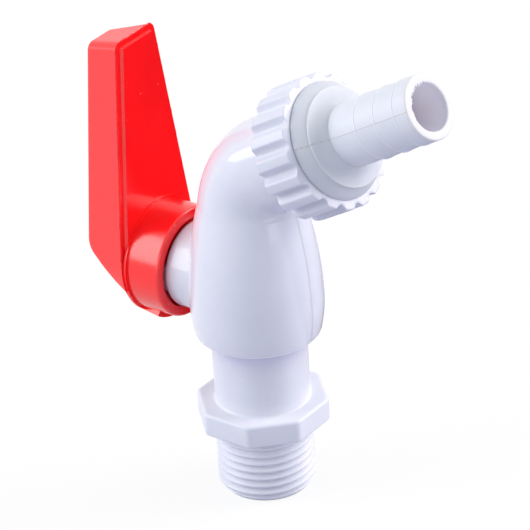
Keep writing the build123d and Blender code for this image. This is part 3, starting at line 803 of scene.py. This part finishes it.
class TAP_OT_inner_parts(bpy.types.Operator):
    """Finishes of the valve's inner pieces, the seals and the screw"""

    bl_idname = "tap.inner_parts"
    bl_label = "Inner Parts"

    def execute(self, context):
        """Waxy seats and washer, polished ball, moulded stem, rubber seals and a plated screw."""
        wax = plastic("Valve Wax White", (0.82, 0.81, 0.78, 1), (0.76, 0.75, 0.71, 1), 0.4, ripple=0.3)
        ball = plastic("Ball White", (0.8, 0.8, 0.82, 1), (0.77, 0.77, 0.79, 1), 0.12, ripple=0.1)
        stem = plastic("Stem White", (0.76, 0.76, 0.78, 1), (0.7, 0.7, 0.72, 1), 0.35, ripple=0.4)
        rubber = plastic("Seal Rubber", (0.025, 0.025, 0.027, 1), (0.04, 0.04, 0.042, 1), 0.62, ripple=0.6,
                         specks=0.0)
        finishes = {"inlet_seat": wax, "outlet_seat": wax, "stem_thrust_washer": wax, "ball": ball, "stem": stem,
                    "adapter_o_ring": rubber, "stem_o_ring_inner": rubber, "stem_o_ring_outer": rubber,
                    "tail_washer": rubber, "handle_screw": self.plated_steel()}
        for node, material in finishes.items():
            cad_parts[node].data.materials[0] = material
        return {"FINISHED"}

    def plated_steel(self):
        """Bright plating with fine turning marks."""
        material = bpy.data.materials.new("Screw Plating")
        tree, shader = node_tree(material)
        place = tree.nodes.new("ShaderNodeTexCoord").outputs["Object"]
        marks = noise(tree, place, 900.0, 4.0)
        colour = mix_colours(tree, marks, (0.52, 0.52, 0.53, 1), (0.66, 0.66, 0.66, 1))
        tree.links.new(colour, shader.inputs["Base Color"])
        tree.links.new(map_range(tree, marks, 0.0, 1.0, 0.2, 0.42), shader.inputs["Roughness"])
        shader.inputs["Metallic"].default_value = 1.0
        return material


class TAP_OT_stage(bpy.types.Operator):
    """White floor, soft studio light and the camera at the photograph's view"""

    bl_idname = "tap.stage"
    bl_label = "Stage"

    def execute(self, context):
        """Floor, reflected cards, world, lamps and camera."""
        context.scene.view_settings.view_transform = "Standard"
        self.floor(context)
        self.flag(context)
        self.world(context.scene)
        for lamp in LAMPS:
            self.lamp(*lamp)
        self.camera(context)
        return {"FINISHED"}

    def card(self, context, name, corners, faces, material):
        """A flat stage piece."""
        mesh = bpy.data.meshes.new(name)
        mesh.from_pydata(corners, [], faces)
        mesh.materials.append(material)
        piece = bpy.data.objects.new(name, mesh)
        context.collection.objects.link(piece)
        return piece

    def floor(self, context):
        """A wide square in the plane of the inlet's end face, which glows where it is seen directly."""
        half = FLOOR_HALF
        corners = [(-half, -half, 0), (half, -half, 0), (half, half, 0), (-half, half, 0)]
        material = bpy.data.materials.new("Floor White")
        tree, shader = node_tree(material)
        shader.inputs["Roughness"].default_value = 0.8
        shader.inputs["Specular IOR Level"].default_value = 0.0
        seen = self.seen_directly(tree)
        tree.links.new(mix_colours(tree, seen, FLOOR_BOUNCE, FLOOR_SEEN), shader.inputs["Base Color"])
        white = tree.nodes.new("ShaderNodeEmission")
        blend = tree.nodes.new("ShaderNodeMixShader")
        tree.links.new(math_node(tree, "MULTIPLY", seen, FLOOR_GLOW), blend.inputs["Fac"])
        tree.links.new(shader.outputs["BSDF"], blend.inputs[1])
        tree.links.new(white.outputs["Emission"], blend.inputs[2])
        output = next(node for node in tree.nodes if node.type == "OUTPUT_MATERIAL")
        tree.links.new(blend.outputs["Shader"], output.inputs["Surface"])
        self.card(context, "floor", corners, [(0, 1, 2, 3)], material)

    def seen_directly(self, tree):
        """1 for a ray from the camera, a reflection or glass, 0 for one that carries light."""
        path = tree.nodes.new("ShaderNodeLightPath").outputs
        seen = math_node(tree, "MAXIMUM", path["Is Camera Ray"], path["Is Glossy Ray"])
        return math_node(tree, "MAXIMUM", seen, path["Is Transmission Ray"])

    def flag(self, context):
        """Dark cards behind the tap that only reflections see, so that the lever's panel stays deep red."""
        corners = [(FLAG_LEFT, FLAG_NEAR, FLAG_LEVEL), (FLAG_RIGHT, FLAG_NEAR, FLAG_LEVEL),
                   (FLAG_RIGHT, FLAG_FAR, FLAG_LEVEL), (FLAG_LEFT, FLAG_FAR, FLAG_LEVEL),
                   (FLAG_RIGHT, FLAG_NEAR + FLAG_SLANT, FLAG_RISE), (FLAG_RIGHT, FLAG_FAR, FLAG_RISE),
                   (FLAG_LEFT + FLAG_SLANT, FLAG_FAR, FLAG_RISE)]
        material = bpy.data.materials.new("Flag Black")
        _, shader = node_tree(material)
        shader.inputs["Base Color"].default_value = FLAG_BLACK
        shader.inputs["Specular IOR Level"].default_value = 0.0
        flag = self.card(context, "flag", corners, [(0, 1, 2, 3), (1, 2, 5, 4), (2, 3, 6, 5)], material)
        for ray in ("camera", "diffuse", "transmission", "shadow", "volume_scatter"):
            setattr(flag, f"visible_{ray}", False)

    def world(self, scene):
        """White to the camera and in reflections, softer as light."""
        world = bpy.data.worlds.new("Studio White")
        scene.world = world
        world.use_nodes = True
        tree = world.node_tree
        tree.nodes.clear()
        output = tree.nodes.new("ShaderNodeOutputWorld")
        light = tree.nodes.new("ShaderNodeBackground")
        light.inputs["Strength"].default_value = SKY_STRENGTH
        light.inputs["Color"].default_value = SKY_LIGHT
        white = tree.nodes.new("ShaderNodeBackground")
        white.inputs["Color"].default_value = (1, 1, 1, 1)
        mix = tree.nodes.new("ShaderNodeMixShader")
        tree.links.new(self.seen_directly(tree), mix.inputs["Fac"])
        tree.links.new(light.outputs["Background"], mix.inputs[1])
        tree.links.new(white.outputs["Background"], mix.inputs[2])
        tree.links.new(mix.outputs["Shader"], output.inputs["Surface"])

    def lamp(self, name, place, target, width, height, power, colour, only):
        """A softbox that faces a point, and lights one node alone if that is named."""
        data = bpy.data.lights.new(name, "AREA")
        data.shape = "RECTANGLE"
        data.size = width
        data.size_y = height
        data.energy = power
        data.color = colour
        lamp = bpy.data.objects.new(name, data)
        bpy.context.collection.objects.link(lamp)
        lamp.location = place
        lamp.rotation_euler = (Vector(target) - Vector(place)).to_track_quat("-Z", "Y").to_euler()
        if only:
            lit = bpy.data.collections.new(f"{name} Lit")
            lit.objects.link(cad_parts[only])
            lamp.light_linking.receiver_collection = lit

    def camera(self, context):
        """Fitted to the photograph: target + distance * (sin a cos e, -cos a cos e, sin e), rolled about its axis."""
        turn, rise, roll = CAMERA_TURN, CAMERA_RISE, CAMERA_ROLL
        right = np.array([cos(turn), sin(turn), 0])
        back = np.array([sin(turn) * cos(rise), -cos(turn) * cos(rise), sin(rise)])
        up = np.cross(back, right)
        data = bpy.data.cameras.new("Photo Camera")
        data.sensor_width = SENSOR_WIDTH
        data.lens = PHOTO_FOCAL / PHOTO_SIZE * SENSOR_WIDTH
        data.shift_x = PHOTO_SHIFT_X / PHOTO_SIZE
        data.shift_y = PHOTO_SHIFT_Y / PHOTO_SIZE
        data.clip_start = CLIP_START
        camera = bpy.data.objects.new("Photo Camera", data)
        context.collection.objects.link(camera)
        matrix = np.eye(4)
        matrix[:3, 0] = cos(roll) * right - sin(roll) * up
        matrix[:3, 1] = sin(roll) * right + cos(roll) * up
        matrix[:3, 2] = back
        matrix[:3, 3] = np.array(MIDDLE) + back * CAMERA_DISTANCE
        camera.matrix_world = matrix.T.tolist()
        context.scene.camera = camera


class TAP_PT_panel(bpy.types.Panel):
    """Pieces of the tap"""

    bl_idname = "TAP_PT_panel"
    bl_label = "Plastic Lever Tap"
    bl_space_type = "VIEW_3D"
    bl_region_type = "UI"
    bl_category = "Tap"

    def draw(self, context):
        """Settings, then one button for each piece."""
        layout = self.layout
        for settings in (context.scene.tap_shape, context.scene.tap_colours):
            for key in settings.bl_rna.properties.keys():
                if key not in {"rna_type", "name"}:
                    layout.prop(settings, key)
        for operator in OPERATORS:
            layout.operator(operator.bl_idname)


OPERATORS = (TAP_OT_inlet_adapter, TAP_OT_body, TAP_OT_union_nut, TAP_OT_hose_tail, TAP_OT_lever,
             TAP_OT_inner_parts, TAP_OT_stage)
CLASSES = (TapShapeSettings, TapColourSettings, *OPERATORS, TAP_PT_panel)


def register():
    """Add the classes and their settings."""
    for item in CLASSES:
        bpy.utils.register_class(item)
    bpy.types.Scene.tap_shape = bpy.props.PointerProperty(type=TapShapeSettings)
    bpy.types.Scene.tap_colours = bpy.props.PointerProperty(type=TapColourSettings)


def unregister():
    """Remove the settings and the classes."""
    del bpy.types.Scene.tap_colours
    del bpy.types.Scene.tap_shape
    for item in reversed(CLASSES):
        bpy.utils.unregister_class(item)


def main():
    """Build every piece."""
    register()
    bpy.ops.tap.inlet_adapter()
    bpy.ops.tap.body()
    bpy.ops.tap.union_nut()
    bpy.ops.tap.hose_tail()
    bpy.ops.tap.lever()
    bpy.ops.tap.inner_parts()
    bpy.ops.tap.stage()


if __name__ == "__main__":
    main()
